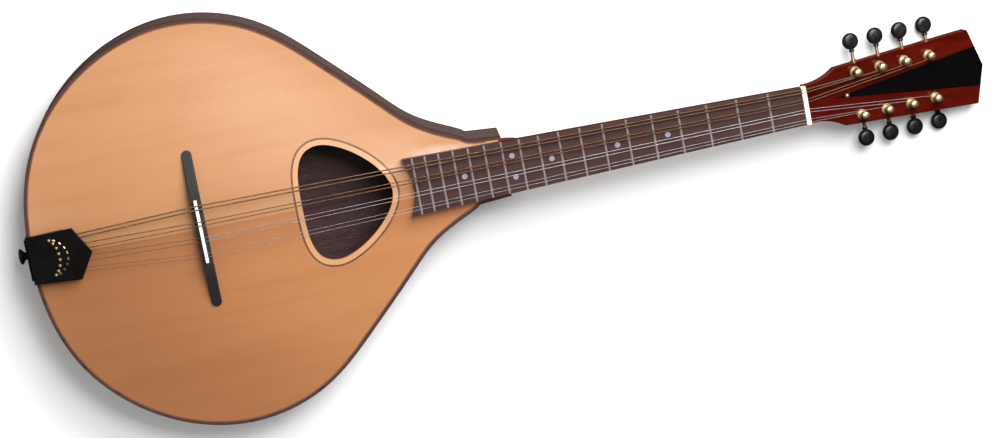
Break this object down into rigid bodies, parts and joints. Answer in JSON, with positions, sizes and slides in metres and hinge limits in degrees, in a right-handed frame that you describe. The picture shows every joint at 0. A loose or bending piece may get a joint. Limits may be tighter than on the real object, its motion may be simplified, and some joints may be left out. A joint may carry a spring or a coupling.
{
  "type": "octave mandolin",
  "caption": "Carved-top pear-bodied octave mandolin with rounded-triangle soundhole, floating bridge, tailpiece and geared tuners.",
  "frame": {"origin": "centre of the bounding box at the level of the flat back, so the instrument lies on z = 0", "axes": "+X from the tail to the head, +Y to the bass side, +Z out of the top"},
  "size_m": [0.862, 0.358, 0.0803],
  "materials": {
    "spruce_top": "satin lacquer over close-grained softwood",
    "ring_wood": "satin lacquer over pale hardwood",
    "dark_line": "satin dark-stained veneer line",
    "rosewood_body": "satin lacquer over open-grained dark hardwood",
    "binding_wood": "gloss lacquer over dark hardwood",
    "inner_spruce": "bare softwood",
    "neck_wood": "satin red-brown lacquer",
    "head_face": "high-gloss red-brown lacquer",
    "ebony": "polished black hardwood",
    "fretboard_wood": "oiled dark hardwood",
    "fret_wire": "polished nickel silver",
    "pearl": "polished shell",
    "bone": "polished bone",
    "gold_metal": "polished gold plate",
    "black_metal": "black plated metal",
    "black_button": "satin black moulded knob",
    "bronze_string": "bronze winding",
    "steel_string": "bright plain steel",
    "steel_rod": "plain steel bar"
  },
  "bodies": {
    "instrument": {"soundboard_bass": "spruce_top", "soundboard_treble": "spruce_top", "soundhole_ring": "ring_wood", "soundhole_line": "dark_line", "top_purfling": "dark_line", "back": "rosewood_body", "side_bass": "rosewood_body", "side_treble": "rosewood_body", "top_binding": "binding_wood", "back_binding": "binding_wood", "neck_block": "inner_spruce", "tail_block": "inner_spruce", "linings": "inner_spruce", "tone_bars": "inner_spruce", "back_bars": "inner_spruce", "neck": "neck_wood", "heel_cap": "neck_wood", "fretboard_riser": "neck_wood", "headstock_veneer": "head_face", "headstock_wedge": "ebony", "bridge": "ebony", "end_pin": "ebony", "fretboard": "fretboard_wood", "frets": "fret_wire", "position_dots": "pearl", "nut": "bone", "saddle": "bone", "anchor_studs": "gold_metal", "tuner_plates": "gold_metal", "wood_screws": "gold_metal", "post_bushings": "gold_metal", "tailpiece_plate": "black_metal", "tailpiece_cover": "black_metal", "wound_strings": "bronze_string", "plain_strings": "steel_string", "truss_rod": "steel_rod"},
    "tuner_button_1": {"button_1": "black_button", "worm_shaft_1": "gold_metal"},
    "string_post_1": {"post_gear_1": "gold_metal"},
    "tuner_button_2": {"button_2": "black_button", "worm_shaft_2": "gold_metal"},
    "string_post_2": {"post_gear_2": "gold_metal"},
    "tuner_button_3": {"button_3": "black_button", "worm_shaft_3": "gold_metal"},
    "string_post_3": {"post_gear_3": "gold_metal"},
    "tuner_button_4": {"button_4": "black_button", "worm_shaft_4": "gold_metal"},
    "string_post_4": {"post_gear_4": "gold_metal"},
    "tuner_button_5": {"button_5": "black_button", "worm_shaft_5": "gold_metal"},
    "string_post_5": {"post_gear_5": "gold_metal"},
    "tuner_button_6": {"button_6": "black_button", "worm_shaft_6": "gold_metal"},
    "string_post_6": {"post_gear_6": "gold_metal"},
    "tuner_button_7": {"button_7": "black_button", "worm_shaft_7": "gold_metal"},
    "string_post_7": {"post_gear_7": "gold_metal"},
    "tuner_button_8": {"button_8": "black_button", "worm_shaft_8": "gold_metal"},
    "string_post_8": {"post_gear_8": "gold_metal"}
  },
  "joints": [
    {"name": "button_turn_1", "type": "hinge", "parent": "instrument", "child": "tuner_button_1", "pos_m": [0.31834, 0.0436, 0.01813], "axis": [0, 1, 0], "continuous": true},
    {"name": "post_turn_1", "type": "hinge", "parent": "instrument", "child": "string_post_1", "pos_m": [0.31233, 0.0192, 0.01919], "axis": [0.1736, 0, 0.9848], "continuous": true},
    {"name": "button_turn_2", "type": "hinge", "parent": "instrument", "child": "tuner_button_2", "pos_m": [0.34099, 0.0436, 0.01413], "axis": [0, 1, 0], "continuous": true},
    {"name": "post_turn_2", "type": "hinge", "parent": "instrument", "child": "string_post_2", "pos_m": [0.33498, 0.0192, 0.01519], "axis": [0.1736, 0, 0.9848], "continuous": true},
    {"name": "button_turn_3", "type": "hinge", "parent": "instrument", "child": "tuner_button_3", "pos_m": [0.36364, 0.0436, 0.01014], "axis": [0, 1, 0], "continuous": true},
    {"name": "post_turn_3", "type": "hinge", "parent": "instrument", "child": "string_post_3", "pos_m": [0.35763, 0.0192, 0.0112], "axis": [0.1736, 0, 0.9848], "continuous": true},
    {"name": "button_turn_4", "type": "hinge", "parent": "instrument", "child": "tuner_button_4", "pos_m": [0.38629, 0.0436, 0.00614], "axis": [0, 1, 0], "continuous": true},
    {"name": "post_turn_4", "type": "hinge", "parent": "instrument", "child": "string_post_4", "pos_m": [0.38028, 0.0192, 0.0072], "axis": [0.1736, 0, 0.9848], "continuous": true},
    {"name": "button_turn_5", "type": "hinge", "parent": "instrument", "child": "tuner_button_5", "pos_m": [0.31834, -0.0436, 0.01813], "axis": [0, 1, 0], "continuous": true},
    {"name": "post_turn_5", "type": "hinge", "parent": "instrument", "child": "string_post_5", "pos_m": [0.31233, -0.0192, 0.01919], "axis": [0.1736, 0, 0.9848], "continuous": true},
    {"name": "button_turn_6", "type": "hinge", "parent": "instrument", "child": "tuner_button_6", "pos_m": [0.34099, -0.0436, 0.01413], "axis": [0, 1, 0], "continuous": true},
    {"name": "post_turn_6", "type": "hinge", "parent": "instrument", "child": "string_post_6", "pos_m": [0.33498, -0.0192, 0.01519], "axis": [0.1736, 0, 0.9848], "continuous": true},
    {"name": "button_turn_7", "type": "hinge", "parent": "instrument", "child": "tuner_button_7", "pos_m": [0.36364, -0.0436, 0.01014], "axis": [0, 1, 0], "continuous": true},
    {"name": "post_turn_7", "type": "hinge", "parent": "instrument", "child": "string_post_7", "pos_m": [0.35763, -0.0192, 0.0112], "axis": [0.1736, 0, 0.9848], "continuous": true},
    {"name": "button_turn_8", "type": "hinge", "parent": "instrument", "child": "tuner_button_8", "pos_m": [0.38629, -0.0436, 0.00614], "axis": [0, 1, 0], "continuous": true},
    {"name": "post_turn_8", "type": "hinge", "parent": "instrument", "child": "string_post_8", "pos_m": [0.38028, -0.0192, 0.0072], "axis": [0.1736, 0, 0.9848], "continuous": true}
  ],
  "couplings": [
    {"joint": "post_turn_1", "follows": "button_turn_1", "ratio": -0.071429},
    {"joint": "post_turn_2", "follows": "button_turn_2", "ratio": -0.071429},
    {"joint": "post_turn_3", "follows": "button_turn_3", "ratio": -0.071429},
    {"joint": "post_turn_4", "follows": "button_turn_4", "ratio": -0.071429},
    {"joint": "post_turn_5", "follows": "button_turn_5", "ratio": 0.071429},
    {"joint": "post_turn_6", "follows": "button_turn_6", "ratio": 0.071429},
    {"joint": "post_turn_7", "follows": "button_turn_7", "ratio": 0.071429},
    {"joint": "post_turn_8", "follows": "button_turn_8", "ratio": 0.071429}
  ]
}
